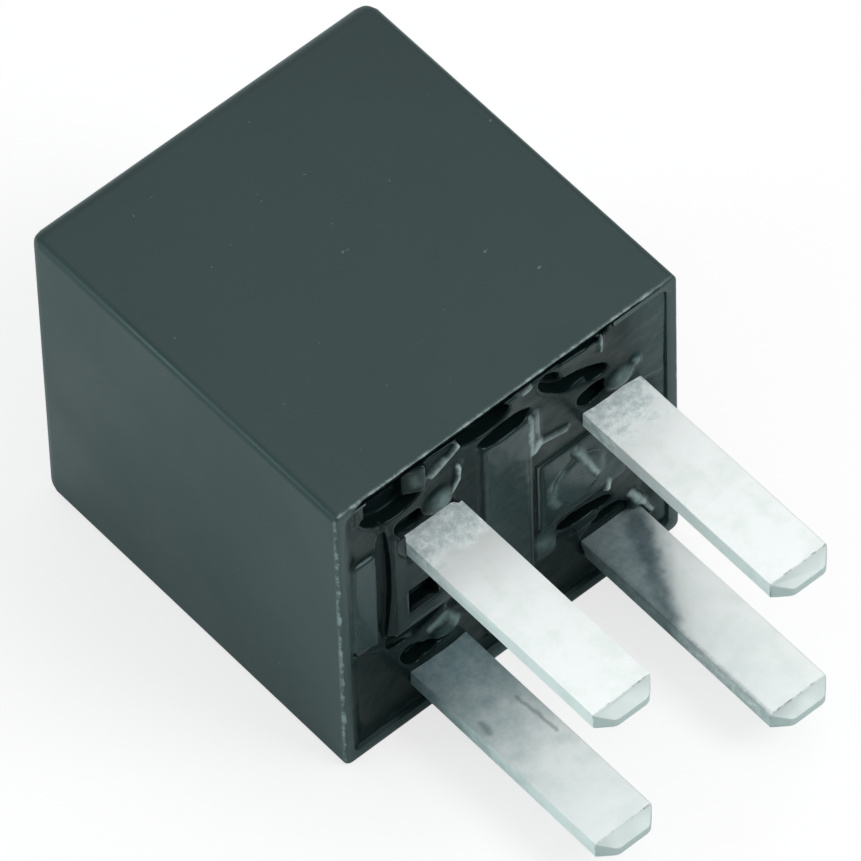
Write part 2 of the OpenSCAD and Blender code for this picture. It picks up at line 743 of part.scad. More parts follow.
// Silver button below the leaf's end, with a domed face and a head above the leaf
module moving_contact() {
    color("#dcdcd6") opened() {
        intersection() {
            rod_y(right_x, mid_z, dome_y - past, hinge_y + armature_out, contact_d / 2);
            translate([right_x, dome_y + dome_r, mid_z]) sphere(r = dome_r);
        }
        rod_y(right_x, mid_z, hinge_y + armature_out, hinge_y + leaf_out, rivet_d / 2);
        rod_y(right_x, mid_z, hinge_y + leaf_out, hinge_y + head_out, rivet_head_d / 2);
    }
}

module fixed_contact() {
    color("#dcdcd6") {
        rod_y(right_x, mid_z, fixed_tab_y, fixed_y, contact_d / 2);
        rod_y(right_x, mid_z, fixed_tab_y - blade_t, fixed_tab_y, rivet_d / 2);
        rod_y(right_x, mid_z, fixed_tab_y - blade_t - rivet_head_t, fixed_tab_y - blade_t,
              rivet_head_d / 2);
    }
}

// Strip that stands in the base and folds over the moving contact's head
stop_z0 = mid_z - stop_down;

module back_stop() {
    color("#c9cdca") along_x(right_x - stop_w / 2, right_x + stop_w / 2)
        translate([0, 2 * mid_z]) mirror([0, 1])
            folded_strip(base_y1 - stop_foot, stop_y + stop_t, mid_z - contact_d / 2,
                         2 * mid_z - stop_z0, stop_t, stop_bend_r);
}

// Resistor ----------------------------------------------------------------------------------

module resistor_body() {
    x0 = resistor_x - resistor_l / 2;
    x1 = resistor_x + resistor_l / 2;
    color("#4f86a8") {
        rod_x(resistor_y, lead_z, x0, x1, resistor_d / 2 - waist);
        for (x = [x0, x1 - resistor_cap_l])
            rod_x(resistor_y, lead_z, x, x + resistor_cap_l, resistor_d / 2);
    }
}

module resistor_leads() {
    half = resistor_l / 2 + touch;
    color("#c4c8c6") {
        rod_x(lead_y, lead_z, left_x - tab_w / 2, resistor_x - half, lead_d / 2);
        rod_x(lead_y, lead_z, resistor_x + half, right_x + tab_w / 2, lead_d / 2);
    }
}

cover();
base();
sealing_resin();
terminal_30();
terminal_87();
terminal_85();
terminal_86();
bobbin();
coil_winding();
coil_start_lead();
coil_finish_lead();
core();
yoke();
armature();
contact_spring();
spring_rivets();
armature_rivets();
moving_contact();
fixed_contact();
back_stop();
resistor_body();
resistor_leads();
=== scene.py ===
import math

import bpy
from mathutils import Matrix, Vector


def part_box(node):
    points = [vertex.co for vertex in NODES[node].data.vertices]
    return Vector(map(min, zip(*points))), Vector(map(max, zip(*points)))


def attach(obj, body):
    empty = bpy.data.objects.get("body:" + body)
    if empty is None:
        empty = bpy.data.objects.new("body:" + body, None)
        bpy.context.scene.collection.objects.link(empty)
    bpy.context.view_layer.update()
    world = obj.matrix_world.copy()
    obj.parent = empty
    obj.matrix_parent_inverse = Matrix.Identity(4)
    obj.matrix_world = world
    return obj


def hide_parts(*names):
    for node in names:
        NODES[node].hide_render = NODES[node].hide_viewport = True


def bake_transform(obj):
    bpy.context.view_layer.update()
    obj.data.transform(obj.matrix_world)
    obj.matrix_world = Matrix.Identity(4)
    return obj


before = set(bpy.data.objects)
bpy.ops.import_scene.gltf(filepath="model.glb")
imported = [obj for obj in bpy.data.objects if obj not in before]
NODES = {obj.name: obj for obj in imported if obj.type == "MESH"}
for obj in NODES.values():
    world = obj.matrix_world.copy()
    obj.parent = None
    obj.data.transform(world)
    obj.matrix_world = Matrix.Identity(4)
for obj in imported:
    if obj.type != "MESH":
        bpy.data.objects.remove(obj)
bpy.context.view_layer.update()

MM = 0.001
FIXED = "relay_body"


# Small tools ------------------------------------------------------------------------------

def mm(*values):
    """Millimetres as a vector in metres."""
    return Vector(values) * MM


def linear(hex_colour):
    """An sRGB hex colour as the linear colour that the shaders take."""
    parts = [int(hex_colour[i:i + 2], 16) / 255 for i in (1, 3, 5)]
    return [p / 12.92 if p <= 0.04045 else ((p + 0.055) / 1.055) ** 2.4 for p in parts] + [1.0]


def deselect():
    """Leave edit mode, with nothing selected."""
    if bpy.context.object and bpy.context.object.mode != "OBJECT":
        bpy.ops.object.mode_set(mode="OBJECT")
    bpy.ops.object.select_all(action="DESELECT")


def settle(piece):
    """Put a piece's place into its mesh, so that its object stands at the origin."""
    deselect()
    piece.select_set(True)
    bpy.context.view_layer.objects.active = piece
    bpy.ops.object.transform_apply(location=True, rotation=True, scale=True)
    return piece


def named(name):
    """Name the piece that an operator has just made."""
    piece = bpy.context.object
    piece.name = name
    piece.data.name = name
    return piece


def block(name, x0, x1, y0, y1, z0, z1):
    """A cube primitive at its size and place, in millimetres."""
    deselect()
    bpy.ops.mesh.primitive_cube_add(size=1, location=mm(x0 + x1, y0 + y1, z0 + z1) / 2,
                                    scale=mm(x1 - x0, y1 - y0, z1 - z0))
    return settle(named(name))


def pick(piece, kind, test):
    """Select the faces, edges or vertices that pass a test, and go into edit mode."""
    deselect()
    piece.select_set(True)
    bpy.context.view_layer.objects.active = piece
    bpy.context.tool_settings.mesh_select_mode = [
        kind == mode for mode in ("vertices", "edges", "polygons")]
    mesh = piece.data
    for group in (mesh.vertices, mesh.edges, mesh.polygons):
        for item in group:
            item.select = False
    for item in getattr(mesh, kind):
        if kind == "edges":
            ends = [mesh.vertices[v].co / MM for v in item.vertices]
            item.select = test(ends[0], ends[1])
        elif kind == "polygons":
            item.select = test(item.center / MM, item.normal)
        else:
            item.select = test(item.co / MM, item.normal)
    bpy.ops.object.mode_set(mode="EDIT")


def modify(piece, kind, **settings):
    """Add a modifier and apply it."""
    deselect()
    piece.select_set(True)
    bpy.context.view_layer.objects.active = piece
    modifier = piece.modifiers.new(kind.lower(), kind)
    for key, value in settings.items():
        setattr(modifier, key, value)
    bpy.ops.object.modifier_apply(modifier=modifier.name)
    return piece


def smooth(piece, degrees):
    """Shade smooth, but for edges sharper than an angle."""
    deselect()
    piece.select_set(True)
    bpy.context.view_layer.objects.active = piece
    bpy.ops.object.shade_smooth_by_angle(angle=math.radians(degrees))
    return piece


def join(first, others):
    """Join pieces into the first one."""
    deselect()
    for piece in others:
        piece.select_set(True)
    first.select_set(True)
    bpy.context.view_layer.objects.active = first
    bpy.ops.object.join()
    return first


def copy_of(node, name):
    """A merged copy of a CAD node's mesh, as an object of its own."""
    deselect()
    piece = bpy.data.objects.new(name, NODES[node].data.copy())
    bpy.context.scene.collection.objects.link(piece)
    piece.data.name = name
    piece.data.materials.clear()
    piece.select_set(True)
    bpy.context.view_layer.objects.active = piece
    bpy.ops.object.mode_set(mode="EDIT")
    bpy.ops.mesh.select_all(action="SELECT")
    bpy.ops.mesh.customdata_custom_splitnormals_clear()
    bpy.ops.mesh.remove_doubles(threshold=0.002 * MM)
    bpy.ops.mesh.dissolve_limited(angle_limit=math.radians(0.5))
    bpy.ops.object.mode_set(mode="OBJECT")
    return piece


def finish_piece(piece, body, material, slot, *nodes):
    """Give a piece its material and its body, and hide the nodes that it replaces. The slot is
    not used.
    """
    piece.data.materials.clear()
    piece.data.materials.append(material)
    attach(piece, body)
    if nodes:
        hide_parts(*nodes)
    return piece


# Materials --------------------------------------------------------------------------------

SOFT = {"interpolation_type": "SMOOTHSTEP"}
COLOUR = {"data_type": "RGBA"}


def add(tree, kind, *values, **named_values):
    """Add a shader node and return its first output. Its inputs come in order or by name: each a
    value, a hex colour or another node's output. Any other name is one of its properties."""
    made = tree.nodes.new("ShaderNode" + kind)
    by_name = {}
    for name, value in named_values.items():
        if hasattr(made, name):
            setattr(made, name, value)
        else:
            by_name[name] = value
    in_order = [socket for socket in made.inputs if socket.enabled]
    pairs = list(zip(in_order, values))
    pairs += [(made.inputs[name], value) for name, value in by_name.items()]
    for socket, value in pairs:
        if isinstance(value, bpy.types.NodeSocket):
            tree.links.new(value, socket)
        else:
            socket.default_value = linear(value) if isinstance(value, str) else value
    return next((socket for socket in made.outputs if socket.enabled), None)


def material(name, colour, **shader):
    """A new Principled material with uniform values set on the shader's own sockets."""
    made = bpy.data.materials.new(name)
    made.use_nodes = True
    tree = made.node_tree
    bsdf = next(n for n in tree.nodes if n.type == "BSDF_PRINCIPLED")
    bsdf.inputs["Base Color"].default_value = linear(colour)
    for key, value in shader.items():
        bsdf.inputs[key.replace("_", " ")].default_value = value
    place = add(tree, "TexCoord").node.outputs["Object"]
    return made, tree, bsdf, place


def strokes(tree, place, keep, lines, ragged_mm=0.12):
    """Mask of soft, ragged strokes. keep: (1, 1, 0) flattens along Z. lines: two ends in mm, the
    distances from the line between them, in mm, at which a stroke fades out, and its strength."""
    wander = add(tree, "TexNoise", place, Scale=1 / (0.5 * MM), Detail=3.0).node.outputs["Color"]
    shift = add(tree, "VectorMath", wander, (0.5, 0.5, 0.5), operation="SUBTRACT")
    shift = add(tree, "VectorMath", shift, Scale=2 * ragged_mm * MM, operation="SCALE")
    moved = add(tree, "VectorMath", place, shift, operation="ADD")
    flat = add(tree, "VectorMath", moved, keep, operation="MULTIPLY")
    total = None
    for start, end, near, far, strength in lines:
        start, run = mm(*start), mm(*end) - mm(*start)
        along = run / run.length_squared
        apart = add(tree, "VectorMath", flat, start, operation="SUBTRACT")
        part = add(tree, "VectorMath", apart, along, operation="DOT_PRODUCT")
        part = add(tree, "Clamp", part)
        foot = add(tree, "VectorMath", run, Scale=part, operation="SCALE")
        gap = add(tree, "VectorMath", apart, foot, operation="DISTANCE")
        mask = add(tree, "MapRange", gap, near * MM, far * MM, strength, 0.0, **SOFT)
        total = mask if total is None else add(tree, "Math", total, mask, operation="MAXIMUM")
    return total


def cover_plastic():
    """Moulded glass-filled PBT, black: satin, faintly grained, with a pale line at the rim's
    outside edge, partly scuffed and partly a painted highlight.
    """
    made, tree, bsdf, place = material("moulded_black_pbt", "#223231", Roughness=0.42, IOR=1.5,
                                       Specular_Tint=(0.78, 1, 1, 1))
    axes = add(tree, "SeparateXYZ", place).node.outputs
    grain = add(tree, "TexNoise", place, Scale=1 / (0.18 * MM), Detail=3.0, Roughness=0.6)
    cloud = add(tree, "TexNoise", place, Scale=1 / (5 * MM), Detail=3.0)
    cloudy = add(tree, "MapRange", cloud, 0.35, 0.65, **SOFT)
    tone = add(tree, "Mix", cloudy, "#1d2b2b", "#212f2f", **COLOUR)
    # Tiny pale scuffs and specks, as handling leaves them
    speck = add(tree, "TexNoise", place, Scale=1 / (0.32 * MM), Detail=1.0)
    speck = add(tree, "MapRange", speck, 0.79, 0.83, 0.0, 0.55, **SOFT)
    tone = add(tree, "Mix", speck, tone, "#5d6c6c", **COLOUR)
    # The rim's outside edge is pale in a fine broken line: partly scuffed, partly a painted
    # highlight on its rounding
    low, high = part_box("cover")
    middle_z = (low.z + high.z) / 2
    across = add(tree, "Math", axes["X"], operation="ABSOLUTE")
    from_side = add(tree, "Math", high.x, across, operation="SUBTRACT")
    upward = add(tree, "Math", axes["Z"], middle_z, operation="SUBTRACT")
    upward = add(tree, "Math", upward, operation="ABSOLUTE")
    from_top = add(tree, "Math", high.z - middle_z, upward, operation="SUBTRACT")
    from_edge = add(tree, "Math", from_side, from_top, operation="MINIMUM")
    ragged = add(tree, "TexNoise", place, Scale=1 / (0.7 * MM), Detail=3.0, Roughness=0.6)
    ragged = add(tree, "Math", ragged, 0.55, operation="SUBTRACT")
    from_edge = add(tree, "Math", ragged, 0.35 * MM, from_edge, operation="MULTIPLY_ADD")
    near_edge = add(tree, "MapRange", from_edge, 0.03 * MM, 0.09 * MM, 0.75, 0.0, **SOFT)
    near_rim = add(tree, "MapRange", axes["Y"], low.y + 0.04 * MM, low.y + 0.18 * MM, 1.0, 0.0,
                   **SOFT)
    broken_wear_and_highlight = add(tree, "TexNoise", place, Scale=1 / (0.5 * MM), Detail=4.0, Roughness=0.7)
    broken_wear_and_highlight = add(tree, "MapRange", broken_wear_and_highlight, 0.40, 0.64, 0.1, 1.0, **SOFT)
    # Pale rim line: part scuffing, part painted highlight
    rim_wear_and_highlight = add(tree, "Math", near_rim, near_edge, operation="MULTIPLY")
    rim_wear_and_highlight = add(tree, "Math", rim_wear_and_highlight, broken_wear_and_highlight, operation="MULTIPLY")
    tone = add(tree, "Mix", rim_wear_and_highlight, tone, "#8b9a99", **COLOUR)
    rough = add(tree, "MapRange", cloud, 0.3, 0.7, 0.38, 0.47, **SOFT)
    normal = add(tree, "Bump", Height=grain, Strength=0.12, Distance=0.02 * MM)
    tree.links.new(tone, bsdf.inputs["Base Color"])
    tree.links.new(rough, bsdf.inputs["Roughness"])
    tree.links.new(normal, bsdf.inputs["Normal"])
    return made


# Thin strings and tears of resin on the terminal face: (x, z) of both ends, width, top, and the
# strength of the painted highlight along each
STRINGS = [
    ((-3.67, 14.15), (-2.9, 14.5), 0.44, -8.76, 0.9),
    ((-2.9, 14.5), (-2.17, 14.9), 0.3, -8.76, 0.95),
    ((-2.2, 13.45), (-2.25, 12.8), 0.26, -8.74, 0.9),
    ((-2.25, 12.8), (-2.55, 12.3), 0.26, -8.74, 0.8),
    ((1.35, 13.2), (1.36, 10.8), 0.32, -8.7, 0.65),
    ((1.65, 13.3), (1.72, 11.5), 0.4, -8.66, 0.34),
    ((1.45, 10.85), (1.75, 11.35), 0.5, -8.7, 0.8),
    ((1.8, 11.25), (3.2, 10.85), 0.4, -8.68, 0.42),
    ((3.5, 9.3), (4.0, 8.15), 0.42, -8.82, 0.62),
    ((4.0, 8.15), (4.5, 6.95), 0.34, -8.82, 0.85),
    ((5.1, 5.8), (5.08, 5.2), 0.34, -8.74, 0.9),
    ((4.85, 15.4), (4.83, 14.3), 0.18, -8.72, 0.8),
    ((6.35, 3.7), (6.9, 2.7), 0.42, -8.72, 0.7),
    ((6.9, 2.7), (7.3, 1.8), 0.3, -8.72, 0.55),
    ((0.9, 15.15), (1.45, 15.25), 0.36, -8.72, 0.7)]

# Painted highlights on lumps, ledges and the boss of resin: (x, z) of both ends, the two
# distances between which each pale patch fades out, and its strength
HIGHLIGHT_PATCHES = [
    ((-3.15, 12.3), (-3.1, 12.2), 0.1, 0.66, 1.0),
    ((5.85, 11.8), (5.95, 11.7), 0.1, 0.66, 1.0),
    ((6.55, 12.2), (6.55, 12.3), 0.05, 0.24, 1.0),
    ((-3.7, 4.3), (-3.0, 4.5), 0.05, 0.34, 1.0),
    ((-3.0, 4.5), (-2.5, 3.9), 0.05, 0.34, 1.0),
    ((2.73, 8.43), (2.33, 7.86), 0.0, 0.34, 0.9),
    ((2.33, 7.86), (2.27, 7.17), 0.0, 0.36, 1.0),
    ((2.27, 7.17), (2.57, 6.53), 0.0, 0.34, 0.9),
    ((-4.3, 14.6), (-4.15, 14.1), 0.0, 0.36, 0.5),
    ((1.75, 4.9), (2.1, 4.5), 0.0, 0.6, 0.7)]


def potting_resin():
    """Poured epoxy, black and glossy, as it cured: painted shade makes the hollows where it has
    sunk dead black, painted light makes the fields that stand up greyer, and painted highlights
    lie along its strings and tears and on its lumps and ledges."""
    made, tree, bsdf, place = material("potting_epoxy", "#0e1c1c", Roughness=0.24, IOR=1.33,
                                       Specular_Tint=(0.7, 1, 1, 1))
    axes = add(tree, "SeparateXYZ", place).node.outputs
    wave = add(tree, "TexNoise", place, Scale=1 / (2.2 * MM), Detail=2.0)
    fine = add(tree, "TexNoise", place, Scale=1 / (0.5 * MM), Detail=3.0, Roughness=0.6)
    # The tone goes by height, with uneven borders: painted shade where it is sunk, painted light
    # where it is raised or proud
    uneven = add(tree, "Math", fine, 0.5, operation="SUBTRACT")
    level = add(tree, "Math", uneven, 0.09 * MM, axes["Y"], operation="MULTIPLY_ADD")
    sunk = add(tree, "MapRange", level, -8.50 * MM, -8.26 * MM, **SOFT)
    raised = add(tree, "MapRange", level, -8.71 * MM, -8.56 * MM, 1.0, 0.0, **SOFT)
    proud = add(tree, "MapRange", level, -8.86 * MM, -8.70 * MM, 1.0, 0.0, **SOFT)
    flatten = (1, 0, 1)
    # Painted highlights along the strings and tears
    string_highlight = strokes(tree, place, flatten, [
        ((a[0], 0, a[1]), (b[0], 0, b[1]), 0.05 * width, 0.66 * width, shade)
        for a, b, width, top, shade in STRINGS], 0.08)
    # Painted highlights on the lumps, ledges and the boss
    patch_highlight = strokes(tree, place, flatten, [
        ((a[0], 0, a[1]), (b[0], 0, b[1]), near, far, strength)
        for a, b, near, far, strength in HIGHLIGHT_PATCHES])
    patchy = add(tree, "MapRange", fine, 0.3, 0.6, 0.45, 1.0, **SOFT)
    string_highlight = add(tree, "Math", string_highlight, patchy, operation="MULTIPLY")
    patch_highlight = add(tree, "Math", patch_highlight, patchy, operation="MULTIPLY")
    wavy = add(tree, "MapRange", wave, 0.35, 0.65, **SOFT)
    tone = add(tree, "Mix", wavy, "#070f0f", "#0b1616", **COLOUR)
    # Painted light on the raised and proud fields, painted highlights on the patches and strings,
    # then painted shade in the sunk hollows
    for amount, colour in ((raised, "#1b2929"), (proud, "#2c3b3b"), (patch_highlight, "#566766"),
                           (string_highlight, "#93a2a1"), (sunk, "#0b1515")):
        tone = add(tree, "Mix", amount, tone, colour, **COLOUR)
    shine = add(tree, "MapRange", raised, 0.0, 1.0, 0.28, 0.5, **SOFT)
    shine = add(tree, "Math", sunk, -0.18, shine, operation="MULTIPLY_ADD")
    height = add(tree, "Math", fine, 0.15, wave, operation="MULTIPLY_ADD")
    normal = add(tree, "Bump", Height=height, Strength=0.5, Distance=0.12 * MM)
    tree.links.new(tone, bsdf.inputs["Base Color"])
    tree.links.new(shine, bsdf.inputs["Specular IOR Level"])
    tree.links.new(normal, bsdf.inputs["Normal"])
    return made


def tin_plate():
    """Electroplated tin, satin and nearly white. Resin has left a pale film with grey flecks on
    the upper blades' roots; the lower blades carry a bluish painted shade towards their roots,
    with darker marks."""
    made, tree, bsdf, place = material("bright_tin_plate", "#e4e9e8", Metallic=0.5,
                                       Roughness=0.55)
    axes = add(tree, "SeparateXYZ", place).node.outputs
    drawn = add(tree, "Mapping", place, Scale=(1.0, 0.12, 1.0))
    streak = add(tree, "TexNoise", drawn, Scale=1 / (0.25 * MM), Detail=3.0, Roughness=0.6)
    blot = add(tree, "TexNoise", place, Scale=1 / (1.3 * MM), Detail=4.0, Roughness=0.62)
    speckle = add(tree, "TexNoise", place, Scale=1 / (0.45 * MM), Detail=5.0, Roughness=0.72)
    blotchy = add(tree, "MapRange", blot, 0.4, 0.7, **SOFT)
    tone = add(tree, "Mix", blotchy, "#e4e9e8", "#dbe2e0", **COLOUR)
    # Which blade a point is on, and how far along it is, with an uneven border
    broken = add(tree, "Math", blot, 0.5, operation="SUBTRACT")
    edge = add(tree, "Math", broken, 4 * MM, axes["Y"], operation="MULTIPLY_ADD")
    upper = add(tree, "MapRange", axes["Z"], 6 * MM, 7 * MM, **SOFT)
    lower = add(tree, "Math", 1.0, upper, operation="SUBTRACT")
    right = add(tree, "MapRange", axes["X"], 0.0, 2 * MM, **SOFT)
    lower_right = add(tree, "Math", lower, right, operation="MULTIPLY")
    lower_left = add(tree, "Math", lower, lower_right, operation="SUBTRACT")
    # The upper blades: the film and its flecks, thicker towards the root
    film = add(tree, "MapRange", edge, -11.0 * MM, -9.8 * MM, **SOFT)
    film = add(tree, "Math", film, upper, operation="MULTIPLY")
    pale = add(tree, "Math", film, 0.9, operation="MULTIPLY")
    tone = add(tree, "Mix", pale, tone, "#e4eeed", **COLOUR)
    root = add(tree, "MapRange", edge, -10.6 * MM, -8.6 * MM, 0.0, 0.16, **SOFT)
    fleck = add(tree, "Math", speckle, root, operation="ADD")
    fleck = add(tree, "MapRange", fleck, 0.42, 0.82, 0.0, 0.7, **SOFT)
    fleck = add(tree, "Math", fleck, film, operation="MULTIPLY")
    tone = add(tree, "Mix", fleck, tone, "#8b9fa2", **COLOUR)
    # The left coil blade: a long painted shade, darker towards the root and mottled, with two
    # marks
    mottle = add(tree, "MapRange", speckle, 0.35, 0.7, 0.85, 1.0, **SOFT)
    root_shade = add(tree, "MapRange", edge, -16.2 * MM, -8.9 * MM, **SOFT)
    root_shade = add(tree, "Math", root_shade, lower_left, operation="MULTIPLY")
    root_shade = add(tree, "Math", root_shade, mottle, operation="MULTIPLY")
    tone = add(tree, "Mix", root_shade, tone, "#6c878d", **COLOUR)
    flatten = (1, 1, 0)
    marks = strokes(tree, place, flatten, [
        ((-4.36, -12.1, 0), (-4.42, -12.6, 0), 0.0, 0.24, 0.5),
        ((-2.55, -12.1, 0), (-2.42, -14.2, 0), 0.0, 0.15, 0.5)], 0.1)
    marks = add(tree, "Math", marks, lower, operation="MULTIPLY")
    tone = add(tree, "Mix", marks, tone, "#4d6064", **COLOUR)
    # The right one: a painted shadow behind a slanting front, with a dark smear along the front
    behind = add(tree, "Math", axes["Y"], 0.51, operation="MULTIPLY")
    front = add(tree, "Math", axes["X"], 0.86, operation="MULTIPLY")
    front = add(tree, "Math", front, behind, operation="SUBTRACT")
    front = add(tree, "Math", broken, 4 * MM * 0.35, front, operation="MULTIPLY_ADD")
    root_shade = add(tree, "MapRange", front, 9.9 * MM, 11.3 * MM, 0.9, 0.0, **SOFT)
    root_shade = add(tree, "Math", root_shade, lower_right, operation="MULTIPLY")
    root_shade = add(tree, "Math", root_shade, mottle, operation="MULTIPLY")
    tone = add(tree, "Mix", root_shade, tone, "#667e83", **COLOUR)
    smear = strokes(tree, place, flatten, [
        ((6.2, -9.0, 0), (5.4, -10.6, 0), 0.1, 0.75, 0.8),
        ((5.4, -10.6, 0), (4.2, -13.2, 0), 0.0, 0.6, 0.65)], 0.3)
    smear = add(tree, "Math", smear, lower_right, operation="MULTIPLY")
    smear = add(tree, "Math", smear, mottle, operation="MULTIPLY")
    tone = add(tree, "Mix", smear, tone, "#3f5258", **COLOUR)
    # Its left side and edge are darker too, mottled, all the way to the tip
    left_side_dark = add(tree, "MapRange", axes["X"], 4.03 * MM, 4.24 * MM, 0.5, 0.0, **SOFT)
    spotted = add(tree, "MapRange", speckle, 0.3, 0.6, 0.3, 1.0, **SOFT)
    left_side_dark = add(tree, "Math", left_side_dark, spotted, operation="MULTIPLY")
    left_side_dark = add(tree, "Math", left_side_dark, lower_right, operation="MULTIPLY")
    tone = add(tree, "Mix", left_side_dark, tone, "#5f7073", **COLOUR)
    # The coined tips are a little greyer, partly smudged and partly painted shade on the tilted
    # facet, behind a dark broken line
    coined = add(tree, "MapRange", axes["Y"], -19.10 * MM, -19.00 * MM, 0.9, 0.0, **SOFT)
    tone = add(tree, "Mix", coined, tone, "#aab5b3", **COLOUR)
    line = add(tree, "MapRange", axes["Y"], -19.10 * MM, -19.06 * MM, **SOFT)
    line_end = add(tree, "MapRange", axes["Y"], -19.04 * MM, -18.98 * MM, 1.0, 0.0, **SOFT)
    line = add(tree, "Math", line, line_end, operation="MULTIPLY")
    gaps = add(tree, "MapRange", speckle, 0.45, 0.6, 0.0, 0.7, **SOFT)
    line = add(tree, "Math", line, gaps, operation="MULTIPLY")
    tone = add(tree, "Mix", line, tone, "#5d6c6b", **COLOUR)
    metallic = add(tree, "MapRange", film, 0.0, 1.0, 0.5, 0.1, **SOFT)
    rough = add(tree, "MapRange", blot, 0.3, 0.75, 0.52, 0.58, **SOFT)
    normal = add(tree, "Bump", Height=streak, Strength=0.15, Distance=0.02 * MM)
    tree.links.new(tone, bsdf.inputs["Base Color"])
    tree.links.new(metallic, bsdf.inputs["Metallic"])
    tree.links.new(rough, bsdf.inputs["Roughness"])
    tree.links.new(normal, bsdf.inputs["Normal"])
    return made


def plain_metal(name, colour, second, roughness, grain_mm):
    """A bare or plated metal: cloudy between two tones, with a fine grain."""
    made, tree, bsdf, place = material(name, colour, Metallic=1.0, Roughness=roughness)
    grain = add(tree, "TexNoise", place, Scale=1 / (grain_mm * MM), Detail=3.0, Roughness=0.6)
    cloud = add(tree, "TexNoise", place, Scale=1 / (2 * MM), Detail=2.0)
    cloudy = add(tree, "MapRange", cloud, 0.35, 0.7, **SOFT)
    tone = add(tree, "Mix", cloudy, colour, second, **COLOUR)
    rough = add(tree, "MapRange", cloud, 0.3, 0.7, roughness - 0.05, roughness + 0.07, **SOFT)
    normal = add(tree, "Bump", Height=grain, Strength=0.15, Distance=0.02 * MM)
    tree.links.new(tone, bsdf.inputs["Base Color"])
    tree.links.new(rough, bsdf.inputs["Roughness"])
    tree.links.new(normal, bsdf.inputs["Normal"])
    return made


def plain_plastic(name, colour, second, roughness):
    """A moulded or baked plastic: cloudy between two tones, with a fine grain."""
    made, tree, bsdf, place = material(name, colour, Roughness=roughness, IOR=1.5)
    grain = add(tree, "TexNoise", place, Scale=1 / (0.15 * MM), Detail=3.0, Roughness=0.6)
    cloud = add(tree, "TexNoise", place, Scale=1 / (3 * MM), Detail=2.0)
    cloudy = add(tree, "MapRange", cloud, 0.35, 0.65, **SOFT)
    tone = add(tree, "Mix", cloudy, colour, second, **COLOUR)
    normal = add(tree, "Bump", Height=grain, Strength=0.12, Distance=0.02 * MM)
    tree.links.new(tone, bsdf.inputs["Base Color"])
    tree.links.new(normal, bsdf.inputs["Normal"])
    return made


def enamelled_copper():
    """Enamelled winding wire: rows of turns across the coil's axis, warm and glossy. The rows are
    0.24 mm apart, about twice the wire's, so that they show."""
    made, tree, bsdf, place = material("enamelled_copper", "#a8521f", Metallic=0.85,
                                       Roughness=0.28)
    turns = add(tree, "TexWave", place, wave_type="BANDS", bands_direction="Y",
                Scale=0.314 / (0.24 * MM), Distortion=0.4, Detail=1.0)
    turns.node.inputs["Detail Scale"].default_value = 2.0
    turns = turns.node.outputs["Fac"]
    tone = add(tree, "Mix", turns, "#6d2f12", "#bd6427", **COLOUR)
    normal = add(tree, "Bump", Height=turns, Strength=0.6, Distance=0.05 * MM)
    tree.links.new(tone, bsdf.inputs["Base Color"])
    tree.links.new(normal, bsdf.inputs["Normal"])
    return made


# Pieces -----------------------------------------------------------------------------------

def drafted_block(name, x0, x1, y0, y1, z0, z1, draft, long_r, end_r):
    """A block with round long edges, drawn in towards its +Y end, whose edges are round too."""
    piece = block(name, x0, x1, y0, y1, z0, z1)
    pick(piece, "polygons", lambda c, n: n.y > 0.9)
    bpy.ops.transform.resize(value=(1 - 2 * draft / (x1 - x0), 1, 1 - 2 * draft / (z1 - z0)),
                             center_override=mm((x0 + x1) / 2, y1, (z0 + z1) / 2))
    pick(piece, "edges", lambda a, b: abs(a.y - b.y) > 10)
    bpy.ops.transform.edge_bevelweight(value=long_r / end_r)
    pick(piece, "edges", lambda a, b: min(a.y, b.y) > y1 - 0.01)
    bpy.ops.transform.edge_bevelweight(value=1)
    bpy.ops.object.mode_set(mode="OBJECT")
    return modify(piece, "BEVEL", width=end_r * MM, segments=8, limit_method="WEIGHT")


def cover_shell():
    """Moulded can: drafted, hollow, with soft outside edges and a lead-in round its mouth."""
    low, high = (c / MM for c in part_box("cover"))
    wall = 0.5
    draft = 0.02
    lead_in = 0.1
    rim_edge = 0.12
    piece = drafted_block("cover_shell", low.x, high.x, low.y, high.y, low.z, high.z,
                          draft, 0.38, 0.8)
    hollow = drafted_block("hollow", low.x + wall, high.x - wall, low.y - 1, high.y - wall,
                           low.z + wall, high.z - wall, draft, 0.4, 0.5)
    modify(piece, "BOOLEAN", operation="DIFFERENCE", object=hollow, solver="EXACT")
    bpy.data.objects.remove(hollow)

    # Sunk groove inside the top wall's rim, whose upper side slants down into the mouth
    groove = block("groove", -6.9, 5.3, low.y - 0.2, low.y + 1.0, high.z - 0.9, high.z - 0.08)
    pick(groove, "vertices", lambda c, n: c.y > low.y and c.z > high.z - 0.2)
    bpy.ops.transform.translate(value=mm(0, 0, -0.36))
    bpy.ops.object.mode_set(mode="OBJECT")
    modify(piece, "BOOLEAN", operation="DIFFERENCE", object=groove, solver="EXACT")
    bpy.data.objects.remove(groove)

    def inside(point):
        return (abs(point.x) < high.x - wall + 0.05
                and abs(point.z - high.z / 2) < high.z / 2 - wall + 0.05)

    # The lead-in chamfer, then the outside edge of the rim, broken slightly
    pick(piece, "edges", lambda a, b: max(a.y, b.y) < low.y + 0.01 and inside(a) and inside(b))
    bpy.ops.mesh.bevel(offset=lead_in * MM, segments=2, profile=0.5, affect="EDGES")
    pick(piece, "edges", lambda a, b: max(a.y, b.y) < low.y + 0.01
         and not inside(a) and not inside(b))
    bpy.ops.mesh.bevel(offset=rim_edge * MM, segments=3, profile=0.5, affect="EDGES")
    bpy.ops.object.mode_set(mode="OBJECT")
    smooth(piece, 35)
    return piece


